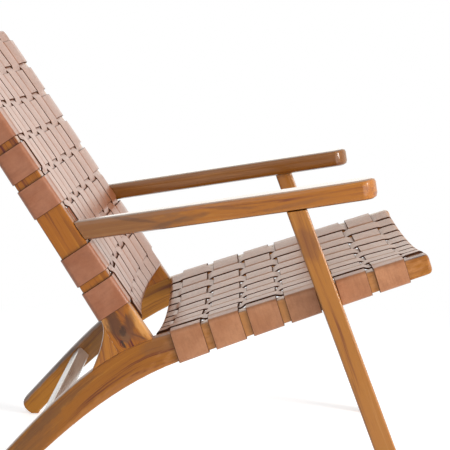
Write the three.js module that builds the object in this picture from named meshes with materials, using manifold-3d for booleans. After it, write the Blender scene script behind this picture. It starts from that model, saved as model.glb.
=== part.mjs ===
// Lounge chair: a teak frame with a seat and a back woven from flat leather straps.
//
// Millimetres, +Z up. The chair faces -Y, its right side is -X, and the origin is at the
// centre of its bounding box, on the floor.
//
// The side view is drawn in the profile frame: x forward, y up, z to the chair's right, with
// x = 0 where the top of a side rail meets the front face of its back upright.
// Each woven panel has a frame of its own, which starts at that same point:
// x runs along the panel, y points out of its face and z goes across the chair.

import * as THREE from 'three';
import { mergeVertices } from 'three/addons/utils/BufferGeometryUtils.js';
import Module from 'manifold-3d';

const wasm = await Module();
wasm.setup();

const degree = Math.PI / 180;

// General sizes
const innerWidth = 540;
const sideThickness = 28;
const jointHeight = 269.2;
const seatSlope = 17.87 * degree;
const backLean = 33.9 * degree;
const jointGap = 0.3;
const overrun = 30;
const woodRound = 4;
const roundSteps = 2;

// Leather straps
const strapWidth = 49;
const strapThickness = 3;
const strapClearance = 0.3;
const crossGap = 12;
const longCount = 9;
const longMargin = 6.3;
const sideTail = 22;
const rimTail = 17;

// Seat panel
const rearRowCount = 4;
const frontRowCount = 2;
const legFlankGap = 0.6;
const seatBow = { rear: 15, middle: 12.5, front: 17.5 };
const seatRearRail = { setback: 6, rowGap: 1.2, depth: 24 };
const seatFrontRail = { thickness: 25, rowGap: 6.2, depth: 25 };

// Back panel
const backRowCount = 8;
const openRowIndex = 2;
const openRowRise = 14.5;
const backBow = { bottom: 16.5, middle: 10.5, top: 18 };
const backLowerRail = { rowGap: 5.5, thickness: 28, depth: 22 };
const backTopRail = { rowGap: 2.5, thickness: 19, depth: 22 };

// Side rail, from the upright forward
const railNoseLead = 5.8;
const railNoseTopRadius = 7;
const railNoseDrop = 22;
const railNoseRadius = 9;
const railFrontDepth = 31.2;
const railBellyStation = 200;
const railBellyDepth = 36.7;
const railKneeStation = 30;
const railKneeDepth = 46;

// Rear leg, which is one piece with the side rail
const rearTopReach = 279.7;
const rearTopHeight = 33.2;
const rearTopSlope = 47 * degree;
const rearTopPullHigh = 110.5;
const rearTopPullLow = 122;
const rearUnderLead = 28;
const rearUnderHeight = 6.5;
const rearUnderSlope = 47 * degree;
const rearUnderPullHigh = 113;
const rearUnderPullLow = 148;
const heelSwell = 8.2;
const heelHigh = 25.6;
const heelLow = 10;
const soleLead = 10.8;
const soleLength = 13;

// Back upright
const uprightTopDepth = 36;
const uprightBellyShare = 0.44;
const uprightBellyDepth = 42;
const uprightTopRadius = 7;
const footRowGap = 1.5;
const footDepth = 51;

// Corner block, glued behind the upright's foot
const blockSeamDepth = 56;
const blockNeck = 19;
const blockHeelStation = 22;
const blockHeelDepth = 87.5;
const blockEndShare = 0.31;

// Front leg
const legLean = 20.8 * degree;
const legStation = 276.5;
const legThickness = 28;
const legFootWidth = 32;
const legTopWidth = 30.5;

// Armrest
const armSlope = 9 * degree;
const armStation = 199.5;
const armThickness = 30.6;
const armLength = 453.5;
const armTaperLength = 318;
const armFrontWidth = 56;
const armCornerRadius = 22;
const armRound = 7;

// Rear stretcher
const stretcherTopShare = 0.643;
const stretcherUnderShare = 0.674;
const stretcherAlong = 22;
const stretcherAcross = 25;
const stretcherRound = 3;

// Stub tenons and dowels
const tenonDepth = 14;
const tenonShoulder = 4;
const dowelRadius = 4;
const dowelLength = 34;
const dowelSides = 12;
const legDowelSpread = 13;
const uprightDowelShare = 0.08;
const blockDowelShare = 0.19;

// Values that follow from the sizes above
const halfInner = innerWidth / 2;
const halfStrap = strapWidth / 2;
const sideOuter = halfInner + sideThickness;
const weaveOffset = (strapThickness + strapClearance) / 2;
const strapLift = strapThickness / 2 + strapClearance;
const crossPitch = strapWidth + crossGap;
const longPitch = (innerWidth - 2 * longMargin - strapWidth) / (longCount - 1);
const rearUnderReach = rearTopReach - rearUnderLead;
const heelReach = rearTopReach + heelSwell;
const soleRear = rearTopReach - soleLead;
const soleFront = soleRear - soleLength;

// The curves that the side pieces share
const seatDirection = new THREE.Vector2(Math.cos(seatSlope), Math.sin(seatSlope));
const seatNormal = new THREE.Vector2(-Math.sin(seatSlope), Math.cos(seatSlope));
const backDirection = new THREE.Vector2(-Math.sin(backLean), Math.cos(backLean));
const backNormal = new THREE.Vector2(Math.cos(backLean), Math.sin(backLean));
const joint = new THREE.Vector2(0, jointHeight);

function seatPoint(station, out) {
  return joint.clone().addScaledVector(seatDirection, station).addScaledVector(seatNormal, out);
}

function backPoint(station, out) {
  return joint.clone().addScaledVector(backDirection, station).addScaledVector(backNormal, out);
}

function directionAt(angle) {
  return new THREE.Vector2(Math.cos(angle), Math.sin(angle));
}

// The front leg's foot, on the centre line that crosses the middle of the side rail
const railMiddle = railBellyDepth / 2;
const legSlope = Math.tan(legLean);
const railMiddlePoint = seatPoint(0, -railMiddle);
const legFootStation = railMiddlePoint.x + legSlope * railMiddlePoint.y
  + legStation * (seatDirection.x + legSlope * seatDirection.y);
const legFlank = (legTopWidth + strapWidth) / 2 + legFlankGap + strapClearance;

// Rows of cross straps, as stations along each panel
const seatRows = [];
for (let k = rearRowCount - 1; k >= 0; k -= 1) seatRows.push(legStation - legFlank - k * crossPitch);
for (let k = 0; k < frontRowCount; k += 1) seatRows.push(legStation + legFlank + k * crossPitch);
const backRowStations = [];
for (let k = 0; k < backRowCount; k += 1) {
  backRowStations.push(armStation + openRowRise + (k - openRowIndex) * crossPitch);
}
const seatFirstEdge = seatRows[0] - halfStrap;
const seatLastEdge = seatRows[seatRows.length - 1] + halfStrap;
const backFirstEdge = backRowStations[0] - halfStrap;
const backLastEdge = backRowStations[backRowCount - 1] + halfStrap;

// The rims that each panel's long straps go round
const seat = {
  rows: seatRows,
  rearRim: {
    start: seatRearRail.setback,
    end: seatFirstEdge - seatRearRail.rowGap,
    depth: seatRearRail.depth,
  },
  frontRim: {
    start: seatLastEdge + seatFrontRail.rowGap,
    end: seatLastEdge + seatFrontRail.rowGap + seatFrontRail.thickness,
    depth: seatFrontRail.depth,
  },
  bow: [seatBow.rear, seatBow.middle, seatBow.front],
};
const back = {
  rows: backRowStations,
  rearRim: {
    start: backFirstEdge - backLowerRail.rowGap - backLowerRail.thickness,
    end: backFirstEdge - backLowerRail.rowGap,
    depth: backLowerRail.depth,
  },
  frontRim: {
    start: backLastEdge + backTopRail.rowGap,
    end: backLastEdge + backTopRail.rowGap + backTopRail.thickness,
    depth: backTopRail.depth,
  },
  bow: [backBow.bottom, backBow.middle, backBow.top],
};
const footStation = backFirstEdge - footRowGap;
const railLength = seat.frontRim.end + railNoseLead;
const uprightLength = back.frontRim.end + strapThickness / 3;

// How far a panel's middle hangs below its edges, at a station along it
function bowDepth(panel, station) {
  const [first, middle, last] = panel.bow;
  const centre = (panel.rearRim.end + panel.frontRim.start) / 2;
  const half = (panel.frontRim.start - panel.rearRim.end) / 2;
  const share = THREE.MathUtils.clamp((station - centre) / half, -1, 1);
  const edge = share < 0 ? first : last;
  return middle + (edge - middle) * share * share;
}

// The surface midway between the crossing straps
function midSurface(panel, station, side) {
  const share = side / halfInner;
  return strapLift - bowDepth(panel, station) * (1 - share * share);
}

function longCentre(index) {
  return ((longCount - 1) / 2 - index) * longPitch;
}

// Side outlines
const rearTopEnd = new THREE.Vector2(-rearTopReach, rearTopHeight);
const rearTopCurve = new THREE.CubicBezierCurve(
  joint,
  joint.clone().addScaledVector(seatDirection, -rearTopPullHigh),
  rearTopEnd.clone().addScaledVector(directionAt(rearTopSlope), rearTopPullLow),
  rearTopEnd,
);
const rearUnderEnd = new THREE.Vector2(-rearUnderReach, rearUnderHeight);
const knee = seatPoint(railKneeStation, -railKneeDepth);
const belly = seatPoint(railBellyStation, -railBellyDepth);
const kneeDirection = belly.clone().sub(knee).normalize();
const rearUnderCurve = new THREE.CubicBezierCurve(
  knee,
  knee.clone().addScaledVector(kneeDirection, -rearUnderPullHigh),
  rearUnderEnd.clone().addScaledVector(directionAt(rearUnderSlope), rearUnderPullLow),
  rearUnderEnd,
);

function curvePoints(curve, from, to, steps) {
  const points = [];
  for (let k = 0; k <= steps; k += 1) points.push(curve.getPoint(from + ((to - from) * k) / steps));
  return points;
}

// Rail underside, seen from its front end back to the knee
const railBottomCurve = new THREE.QuadraticBezierCurve(
  seatPoint(railLength - railNoseRadius, -railFrontDepth),
  belly,
  knee,
);

function railDepthAt(station) {
  let low = 0;
  let high = 1;
  for (let k = 0; k < 40; k += 1) {
    const middle = (low + high) / 2;
    const along = railBottomCurve.getPoint(middle).sub(joint).dot(seatDirection);
    if (along > station) low = middle;
    else high = middle;
  }
  return -railBottomCurve.getPoint(low).sub(joint).dot(seatNormal);
}

const uprightBelly = footStation + (uprightLength - footStation) * uprightBellyShare;
const uprightRearCurve = new THREE.QuadraticBezierCurve(
  backPoint(uprightLength - uprightTopRadius, -uprightTopDepth),
  backPoint(uprightBelly, -uprightBellyDepth),
  backPoint(footStation, -footDepth),
);

function uprightDepthAt(station) {
  let low = 0;
  let high = 1;
  for (let k = 0; k < 40; k += 1) {
    const middle = (low + high) / 2;
    const along = uprightRearCurve.getPoint(middle).sub(joint).dot(backDirection);
    if (along > station) low = middle;
    else high = middle;
  }
  return -uprightRearCurve.getPoint(low).sub(joint).dot(backNormal);
}

const blockEnd = rearTopCurve.getPoint(blockEndShare);

// One outline holds rail, rear leg and upright, so that their faces run on across the joint
function sideOutline() {
  const uprightTopCurve = new THREE.QuadraticBezierCurve(
    backPoint(uprightLength - uprightTopRadius, 0),
    backPoint(uprightLength, 0),
    backPoint(uprightLength, -uprightTopRadius),
  );
  const uprightHeelCurve = new THREE.QuadraticBezierCurve(
    backPoint(uprightLength, uprightTopRadius - uprightTopDepth),
    backPoint(uprightLength, -uprightTopDepth),
    backPoint(uprightLength - uprightTopRadius, -uprightTopDepth),
  );
  const blockCurve = new THREE.CubicBezierCurve(
    backPoint(footStation, -footDepth),
    backPoint(footStation - blockNeck, -footDepth),
    backPoint(blockHeelStation, -blockHeelDepth),
    blockEnd,
  );
  const heelCurve = new THREE.CubicBezierCurve(
    rearTopEnd,
    new THREE.Vector2(-heelReach, heelHigh),
    new THREE.Vector2(-heelReach, heelLow),
    new THREE.Vector2(-soleRear, 0),
  );
  const noseCurve = new THREE.QuadraticBezierCurve(
    seatPoint(railLength, -railNoseDrop),
    seatPoint(railLength, -railFrontDepth),
    seatPoint(railLength - railNoseRadius, -railFrontDepth),
  );
  const noseTopCurve = new THREE.QuadraticBezierCurve(
    seatPoint(railLength, -railNoseTopRadius),
    seatPoint(railLength, 0),
    seatPoint(railLength - railNoseTopRadius, 0),
  );
  const outline = [
    ...curvePoints(noseTopCurve, 0, 1, 3),
    joint,
    ...curvePoints(uprightTopCurve, 0, 1, 3),
    ...curvePoints(uprightHeelCurve, 0, 1, 3).slice(0, -1),
    ...curvePoints(uprightRearCurve, 0, 1, 8).slice(0, -1),
    ...curvePoints(blockCurve, 0, 1, 8).slice(0, -1),
    ...curvePoints(rearTopCurve, blockEndShare, 1, 10).slice(0, -1),
    ...curvePoints(heelCurve, 0, 1, 6),
    new THREE.Vector2(-soleFront, 0),
    ...curvePoints(rearUnderCurve, 1, 0, 14).slice(0, -1),
    ...curvePoints(railBottomCurve, 1, 0, 8).slice(0, -1),
    ...curvePoints(noseCurve, 1, 0, 4),
  ];
  return outline;
}

// The side that belongs to the upright, bounded below by the joint with the rail
function uprightRegion(gap) {
  const seam = curvePoints(rearTopCurve, 0, blockEndShare, 8);
  const across = directionAt(seatSlope / 2 + rearTopSlope / 2);
  const shift = new THREE.Vector2(-across.y, across.x).multiplyScalar(gap);
  const far = backPoint(uprightLength + overrun, -blockHeelDepth - overrun);
  return [
    ...seam.map((point) => point.clone().add(shift)),
    far,
    backPoint(uprightLength + overrun, overrun),
    backPoint(overrun, overrun),
  ];
}

// The part of the upright's foot that the corner block fills, behind a seam that runs on
// from the upright's rear face
function blockRegion(gap) {
  const low = -overrun;
  const lowDepth = blockSeamDepth + ((blockSeamDepth - footDepth) * overrun) / footStation;
  const far = -blockHeelDepth - 2 * overrun;
  return [
    backPoint(footStation, -footDepth - gap),
    backPoint(footStation, far),
    backPoint(low, far),
    backPoint(low, -lowDepth - gap),
  ];
}

// Solids

function toSolid(geometry) {
  const plain = geometry.clone();
  plain.deleteAttribute('normal');
  plain.deleteAttribute('uv');
  const merged = mergeVertices(plain);
  return new wasm.Manifold(new wasm.Mesh({
    numProp: 3,
    vertProperties: new Float32Array(merged.attributes.position.array),
    triVerts: new Uint32Array(merged.index.array),
  }));
}

function toGeometry(solid) {
  const mesh = solid.getMesh();
  const geometry = new THREE.BufferGeometry();
  geometry.setAttribute('position', new THREE.BufferAttribute(mesh.vertProperties, 3));
  geometry.setIndex(new THREE.BufferAttribute(mesh.triVerts, 1));
  geometry.computeVertexNormals();
  return geometry;
}

// An outline drawn in x and y, from z = low to z = high, with rounded rims
function plate(outline, low, high, round = 0) {
  const geometry = new THREE.ExtrudeGeometry(new THREE.Shape(outline), {
    depth: high - low - 2 * round,
    steps: 1,
    bevelEnabled: round > 0,
    bevelThickness: round,
    bevelSize: round,
    bevelOffset: -round,
    bevelSegments: roundSteps,
  });
  geometry.translate(0, 0, low + round);
  return geometry;
}

function brick(low, high) {
  const size = new THREE.Vector3().subVectors(high, low);
  const centre = new THREE.Vector3().addVectors(low, high).divideScalar(2);
  return new THREE.BoxGeometry(size.x, size.y, size.z).translate(centre.x, centre.y, centre.z);
}

function roundedRectangle(width, height, radius) {
  const points = [];
  for (let corner = 0; corner < 4; corner += 1) {
    const signX = corner === 0 || corner === 3 ? 1 : -1;
    const signY = corner < 2 ? 1 : -1;
    for (let k = 0; k <= roundSteps; k += 1) {
      const angle = (corner + k / roundSteps) * (Math.PI / 2);
      points.push(new THREE.Vector2(
        signX * (width / 2 - radius) + radius * Math.cos(angle),
        signY * (height / 2 - radius) + radius * Math.sin(angle),
      ));
    }
  }
  return points;
}

// Panel frames, set in the profile frame
const seatPlace = new THREE.Matrix4().makeBasis(
  new THREE.Vector3(seatDirection.x, seatDirection.y, 0),
  new THREE.Vector3(seatNormal.x, seatNormal.y, 0),
  new THREE.Vector3(0, 0, 1),
).setPosition(0, jointHeight, 0);
const backPlace = new THREE.Matrix4().makeBasis(
  new THREE.Vector3(backDirection.x, backDirection.y, 0),
  new THREE.Vector3(backNormal.x, backNormal.y, 0),
  new THREE.Vector3(0, 0, -1),
).setPosition(0, jointHeight, 0);

// Armrest frame: x along the arm, y up out of its face, z to the right; it starts on the upright
const armRoot = backPoint(armStation, 0);
const armPlace = new THREE.Matrix4().makeRotationZ(armSlope).setPosition(armRoot.x, armRoot.y, 0);

// Stretcher frame: x along the rear leg
const stretcherTop = rearTopCurve.getPoint(stretcherTopShare);
const stretcherUnder = rearUnderCurve.getPoint(stretcherUnderShare);
const stretcherCentre = stretcherTop.clone().add(stretcherUnder).divideScalar(2);
const stretcherTangent = rearTopCurve.getTangent(stretcherTopShare);
const stretcherPlace = new THREE.Matrix4()
  .makeRotationZ(Math.atan2(-stretcherTangent.y, -stretcherTangent.x))
  .setPosition(stretcherCentre.x, stretcherCentre.y, 0);

// The stub tenons at a cross piece's two ends, from their low and high corners in the section
function tenonPair(low, high, clearance) {
  const root = halfInner - tenonShoulder;
  const tip = halfInner + tenonDepth + clearance;
  return [
    brick(
      new THREE.Vector3(low.x - clearance, low.y - clearance, root),
      new THREE.Vector3(high.x + clearance, high.y + clearance, tip),
    ),
    brick(
      new THREE.Vector3(low.x - clearance, low.y - clearance, -tip),
      new THREE.Vector3(high.x + clearance, high.y + clearance, -root),
    ),
  ];
}

function rimTenons(rim, clearance) {
  return tenonPair(
    new THREE.Vector2(rim.start + tenonShoulder, tenonShoulder - rim.depth),
    new THREE.Vector2(rim.end - tenonShoulder, -tenonShoulder),
    clearance,
  );
}

function stretcherTenons(clearance) {
  const half = new THREE.Vector2(stretcherAlong / 2 - tenonShoulder, stretcherAcross / 2 - tenonShoulder);
  return tenonPair(half.clone().negate(), half, clearance);
}

function cut(solid, geometries, place) {
  return geometries.reduce((rest, geometry) => rest.subtract(toSolid(geometry.applyMatrix4(place))), solid);
}

function join(solid, geometries) {
  return geometries.reduce((sum, geometry) => sum.add(toSolid(geometry)), solid);
}

// Dowels: centre and direction in the profile frame, on the right side of the chair
function dowelPlaces() {
  const places = [];
  for (const [index, sign] of [[1, 1], [2, -1]]) {
    const point = seatPoint(legStation, -railMiddle + (sign * legDowelSpread) / 2);
    places.push({
      name: `leg_dowel_${index}`,
      centre: new THREE.Vector3(point.x, point.y, sideOuter + jointGap / 2),
      direction: new THREE.Vector3(0, 0, 1),
    });
  }
  for (const [name, share] of [['upright_dowel', uprightDowelShare], ['block_dowel', blockDowelShare]]) {
    const point = rearTopCurve.getPoint(share);
    places.push({
      name,
      centre: new THREE.Vector3(point.x, point.y, halfInner + sideThickness / 2),
      direction: new THREE.Vector3(backDirection.x, backDirection.y, 0),
    });
  }
  places.push({
    name: 'arm_rear_dowel',
    centre: new THREE.Vector3(armRoot.x, armRoot.y, halfInner + sideThickness / 2),
    direction: new THREE.Vector3(Math.cos(armSlope), Math.sin(armSlope), 0),
  });
  const legTop = legTopPoint();
  places.push({
    name: 'arm_front_dowel',
    centre: new THREE.Vector3(legTop.x, legTop.y, sideOuter + jointGap + (legThickness - jointGap) / 2),
    direction: new THREE.Vector3(-Math.sin(legLean), Math.cos(legLean), 0),
  });
  return places;
}

// Where the front leg's centre line meets the underside of the armrest
function legTopPoint() {
  const underside = armRoot.clone().addScaledVector(directionAt(armSlope + Math.PI / 2), -armThickness / 2);
  const rise = Math.tan(armSlope);
  const height = (underside.y + rise * (legFootStation - underside.x)) / (1 + rise * legSlope);
  return new THREE.Vector2(legFootStation - height * legSlope, height);
}

function dowelGeometry(place, radius, length) {
  const geometry = new THREE.CylinderGeometry(radius, radius, length, dowelSides);
  const turn = new THREE.Quaternion().setFromUnitVectors(new THREE.Vector3(0, 1, 0), place.direction);
  geometry.applyQuaternion(turn);
  return geometry.translate(place.centre.x, place.centre.y, place.centre.z);
}

function cutDowels(solid) {
  let result = solid;
  for (const place of dowelPlaces()) {
    const bore = dowelGeometry(place, dowelRadius + jointGap, dowelLength + 2 * jointGap);
    result = result.subtract(toSolid(bore));
  }
  return result;
}

// Right-hand side pieces, in the profile frame
function sidePieces() {
  const whole = toSolid(plate(sideOutline(), halfInner, sideOuter, woodRound));
  const wide = sideOuter + overrun;
  const uprightZone = toSolid(plate(uprightRegion(jointGap / 2), 0, wide));
  const clearZone = toSolid(plate(uprightRegion(-jointGap / 2), 0, wide));
  let rail = whole.subtract(clearZone);
  const onRail = whole.intersect(uprightZone);
  const block = onRail.intersect(toSolid(plate(blockRegion(jointGap / 2), 0, wide)));
  let upright = onRail.subtract(toSolid(plate(blockRegion(-jointGap / 2), 0, wide)));
  for (const rim of [seat.rearRim, seat.frontRim]) {
    rail = cut(rail, rimTenons(rim, jointGap), seatPlace);
  }
  for (const rim of [back.rearRim, back.frontRim]) {
    upright = cut(upright, rimTenons(rim, jointGap), backPlace);
  }
  rail = cut(rail, stretcherTenons(jointGap), stretcherPlace);
  return { side_rail: cutDowels(rail), back_upright: cutDowels(upright), corner_block: cutDowels(block) };
}

function frontLeg() {
  const up = new THREE.Vector2(-Math.sin(legLean), Math.cos(legLean));
  const across = new THREE.Vector2(Math.cos(legLean), Math.sin(legLean));
  const foot = new THREE.Vector2(legFootStation, 0);
  const length = legTopPoint().distanceTo(foot);
  const taper = (legTopWidth - legFootWidth) / length;
  const corner = (along, sign) => foot.clone().addScaledVector(up, along)
    .addScaledVector(across, (sign * (legFootWidth + taper * along)) / 2);
  const top = length + overrun;
  const outline = [corner(-overrun, -1), corner(-overrun, 1), corner(top, 1), corner(top, -1)];
  const outer = sideOuter + legThickness;
  const body = toSolid(plate(outline, sideOuter + jointGap, outer, woodRound));
  const reach = legFootStation + length;
  const floor = brick(new THREE.Vector3(-reach, -reach, 0), new THREE.Vector3(reach, 0, outer + overrun));
  const armZone = brick(
    new THREE.Vector3(0, -armThickness / 2 - jointGap, 0),
    new THREE.Vector3(armLength, armThickness / 2 + reach, outer + overrun),
  ).applyMatrix4(armPlace);
  return cutDowels(body.subtract(toSolid(floor)).subtract(toSolid(armZone)));
}

function armrest() {
  const inner = -halfInner;
  const outer = -halfInner - armFrontWidth;
  const radius = armCornerRadius;
  const front = armLength;
  const corner = (x, y, toX, toY) => new THREE.QuadraticBezierCurve(
    new THREE.Vector2(x + toX * radius, y),
    new THREE.Vector2(x, y),
    new THREE.Vector2(x, y + toY * radius),
  );
  const outline = [
    new THREE.Vector2(-overrun, -sideOuter),
    new THREE.Vector2(0, -sideOuter),
    new THREE.Vector2(armTaperLength, outer),
    ...curvePoints(corner(front, outer, -1, 1), 0, 1, 6),
    ...curvePoints(corner(front, inner, -1, -1), 1, 0, 6),
    new THREE.Vector2(-overrun, inner),
  ];
  const flat = plate(outline, -armThickness / 2, armThickness / 2, armRound);
  const upright = new THREE.Matrix4().makeRotationX(-Math.PI / 2);
  const body = toSolid(flat.applyMatrix4(upright).applyMatrix4(armPlace));
  const behind = brick(
    new THREE.Vector3(-overrun, -3 * overrun, 0),
    new THREE.Vector3(uprightLength, jointGap, sideOuter + overrun),
  );
  const mirror = new THREE.Matrix4().makeScale(1, 1, -1);
  const zone = behind.applyMatrix4(mirror);
  zone.index.array.reverse();
  return cutDowels(body.subtract(toSolid(zone.applyMatrix4(backPlace))));
}

// The other side is the mirror image
function mirrored(geometry) {
  const copy = geometry.clone();
  copy.applyMatrix4(new THREE.Matrix4().makeScale(1, 1, -1));
  copy.index.array.reverse();
  copy.computeVertexNormals();
  return copy;
}

// A cross rail whose faces follow the panel's bow, in its panel's frame
function bowedRail(panel, rim) {
  const stations = [halfInner + overrun, halfInner];
  for (let index = 0; index < longCount; index += 1) {
    stations.push(longCentre(index) + halfStrap);
    stations.push(longCentre(index) - halfStrap);
  }
  stations.push(-halfInner, -halfInner - overrun);
  const face = (side) => {
    const inside = THREE.MathUtils.clamp(side, -halfInner, halfInner);
    return midSurface(panel, rim.end, inside) - strapLift;
  };
  const outline = [
    ...stations.map((side) => new THREE.Vector2(side, face(side))),
    ...stations.reverse().map((side) => new THREE.Vector2(side, face(side) - rim.depth)),
  ];
  const bar = plate(outline, rim.start, rim.end, woodRound);
  const place = new THREE.Matrix4().makeBasis(
    new THREE.Vector3(0, 0, 1),
    new THREE.Vector3(0, 1, 0),
    new THREE.Vector3(1, 0, 0),
  );
  bar.applyMatrix4(place);
  const flipped = bar.index ? bar : mergeVertices(bar);
  flipped.index.array.reverse();
  const shoulder = halfInner - jointGap;
  const low = Math.min(...outline.map((point) => point.y)) - overrun;
  const between = brick(
    new THREE.Vector3(rim.start - overrun, low, -shoulder),
    new THREE.Vector3(rim.end + overrun, overrun, shoulder),
  );
  return join(toSolid(flipped).intersect(toSolid(between)), rimTenons(rim, 0));
}

function stretcher() {
  const outline = roundedRectangle(stretcherAlong, stretcherAcross, stretcherRound);
  const shoulder = halfInner - jointGap;
  return join(toSolid(plate(outline, -shoulder, shoulder)), stretcherTenons(0));
}

// Straps

// A strap's body from its two long edges, each a list of outer and inner points
function strapGeometry(edgeA, edgeB) {
  const position = [];
  const index = [];
  for (let k = 0; k < edgeA.length; k += 1) {
    for (const point of [edgeA[k].outer, edgeB[k].outer, edgeB[k].inner, edgeA[k].inner]) {
      position.push(point.x, point.y, point.z);
    }
  }
  for (let k = 0; k + 1 < edgeA.length; k += 1) {
    for (let c = 0; c < 4; c += 1) {
      const here = 4 * k + c;
      const next = 4 * k + ((c + 1) % 4);
      index.push(here, next, next + 4, here, next + 4, here + 4);
    }
  }
  const last = 4 * (edgeA.length - 1);
  index.push(0, 2, 1, 0, 3, 2);
  index.push(last, last + 1, last + 2, last, last + 2, last + 3);
  const geometry = new THREE.BufferGeometry();
  geometry.setAttribute('position', new THREE.Float32BufferAttribute(position, 3));
  geometry.setIndex(index);
  geometry.computeVertexNormals();
  return geometry;
}

// Points on the strap's two faces round a rounded corner of wood; angles are measured from
// the first axis of the plane that the strap bends in
function wrapCorner(centreX, centreY, fromAngle, toAngle) {
  const points = [];
  for (let k = 0; k <= roundSteps; k += 1) {
    const angle = fromAngle + ((toAngle - fromAngle) * k) / roundSteps;
    const inner = woodRound + strapClearance;
    const outer = inner + strapThickness;
    points.push({
      outer: [centreX + outer * Math.cos(angle), centreY + outer * Math.sin(angle)],
      inner: [centreX + inner * Math.cos(angle), centreY + inner * Math.sin(angle)],
    });
  }
  return points;
}

function level(x, y) {
  return { outer: [x, y + strapThickness / 2], inner: [x, y - strapThickness / 2] };
}

function underside(x, y) {
  return { outer: [x, y - strapLift - strapThickness / 2], inner: [x, y - strapClearance] };
}

// One edge of a long strap, at a side place across the chair: station and height pairs
function longEdge(panel, index, side) {
  const { rearRim, frontRim } = panel;
  const rearFace = midSurface(panel, rearRim.end, side) - strapLift;
  const frontFace = midSurface(panel, frontRim.start, side) - strapLift;
  const points = [
    underside(rearRim.start + rimTail, rearFace - rearRim.depth),
    ...wrapCorner(
      rearRim.start + woodRound, rearFace - rearRim.depth + woodRound, -Math.PI / 2, -Math.PI,
    ),
    ...wrapCorner(rearRim.start + woodRound, rearFace - woodRound, Math.PI, Math.PI / 2),
    level(rearRim.end, rearFace + strapLift),
  ];
  panel.rows.forEach((row, rowIndex) => {
    const over = (rowIndex + index) % 2 === 0 ? 1 : -1;
    for (const station of [row - halfStrap, row + halfStrap]) {
      points.push(level(station, midSurface(panel, station, side) + over * weaveOffset));
    }
  });
  points.push(
    level(frontRim.start, frontFace + strapLift),
    ...wrapCorner(frontRim.end - woodRound, frontFace - woodRound, Math.PI / 2, 0),
    ...wrapCorner(frontRim.end - woodRound, frontFace - frontRim.depth + woodRound, 0, -Math.PI / 2),
    underside(frontRim.end - rimTail, frontFace - frontRim.depth),
  );
  const at = ([x, y]) => new THREE.Vector3(x, y, side);
  return points.map((point) => ({ outer: at(point.outer), inner: at(point.inner) }));
}

// One edge of a cross strap, at a station along the panel: side and height pairs
function crossEdge(panel, rowIndex, station, depth, wraps) {
  const weave = [];
  for (let index = 0; index < longCount; index += 1) {
    const over = (rowIndex + index) % 2 === 0 ? -1 : 1;
    for (const side of [longCentre(index) + halfStrap, longCentre(index) - halfStrap]) {
      weave.push(level(side, midSurface(panel, station, side) + over * weaveOffset));
    }
  }
  const edge = (sign) => {
    const points = [level(sign * halfInner, strapLift)];
    if (!wraps) return [level(sign * (halfInner - jointGap), strapLift)];
    const corner = sideOuter - woodRound;
    points.push(...wrapCorner(corner, -woodRound, Math.PI / 2, 0));
    points.push(...wrapCorner(corner, -depth + woodRound, 0, -Math.PI / 2));
    points.push(underside(sideOuter - sideTail, -depth));
    if (sign > 0) return points;
    const flip = ([x, y]) => [-x, y];
    return [points[0], ...points.slice(1).map((p) => ({ outer: flip(p.outer), inner: flip(p.inner) }))];
  };
  const points = [...edge(1).reverse(), ...weave, ...edge(-1)];
  const at = ([x, y]) => new THREE.Vector3(station, y, x);
  return points.map((point) => ({ outer: at(point.outer), inner: at(point.inner) }));
}

// Materials
const teak = () => new THREE.MeshStandardMaterial({ color: 0xa86e3b, roughness: 0.42, metalness: 0 });
const beech = () => new THREE.MeshStandardMaterial({ color: 0xcda877, roughness: 0.7, metalness: 0 });
const seatLeather = () => new THREE.MeshStandardMaterial({ color: 0xb28474, roughness: 0.5, metalness: 0 });
const backLeather = () => new THREE.MeshStandardMaterial({ color: 0xb88a78, roughness: 0.5, metalness: 0 });

function named(name, geometry, material) {
  const mesh = new THREE.Mesh(geometry, material);
  mesh.name = name;
  return mesh;
}

// Assembly
const profile = new THREE.Group();

const pieces = sidePieces();
const sideGeometries = {
  side_rail: toGeometry(pieces.side_rail),
  back_upright: toGeometry(pieces.back_upright),
  corner_block: toGeometry(pieces.corner_block),
  front_leg: toGeometry(frontLeg()),
  armrest: toGeometry(armrest()),
};
for (const [name, geometry] of Object.entries(sideGeometries)) {
  profile.add(named(`right_${name}`, geometry, teak()));
  profile.add(named(`left_${name}`, mirrored(geometry), teak()));
}

for (const place of dowelPlaces()) {
  const geometry = dowelGeometry(place, dowelRadius, dowelLength);
  profile.add(named(`right_${place.name}`, geometry, beech()));
  profile.add(named(`left_${place.name}`, mirrored(geometry), beech()));
}

const stretcherGroup = new THREE.Group();
stretcherGroup.applyMatrix4(stretcherPlace);
stretcherGroup.add(named('rear_stretcher', toGeometry(stretcher()), teak()));
profile.add(stretcherGroup);

function wovenPanel(panel, name, place, leather, railNames, depthAt, openIndex) {
  const group = new THREE.Group();
  group.applyMatrix4(place);
  group.add(named(railNames[0], toGeometry(bowedRail(panel, panel.rearRim)), teak()));
  group.add(named(railNames[1], toGeometry(bowedRail(panel, panel.frontRim)), teak()));
  for (let index = 0; index < longCount; index += 1) {
    const centre = longCentre(index);
    const geometry = strapGeometry(
      longEdge(panel, index, centre - halfStrap),
      longEdge(panel, index, centre + halfStrap),
    );
    group.add(named(`${name}_long_strap_${index + 1}`, geometry, leather()));
  }
  panel.rows.forEach((row, rowIndex) => {
    const wraps = rowIndex !== openIndex;
    const edges = [row - halfStrap, row + halfStrap].map(
      (station) => crossEdge(panel, rowIndex, station, depthAt(station), wraps),
    );
    group.add(named(`${name}_cross_strap_${rowIndex + 1}`, strapGeometry(edges[0], edges[1]), leather()));
  });
  return group;
}

profile.add(wovenPanel(
  seat, 'seat', seatPlace, seatLeather, ['seat_rear_rail', 'seat_front_rail'], railDepthAt, -1,
));
profile.add(wovenPanel(
  back, 'back', backPlace, backLeather, ['back_lower_rail', 'back_top_rail'], uprightDepthAt, openRowIndex,
));

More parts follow.
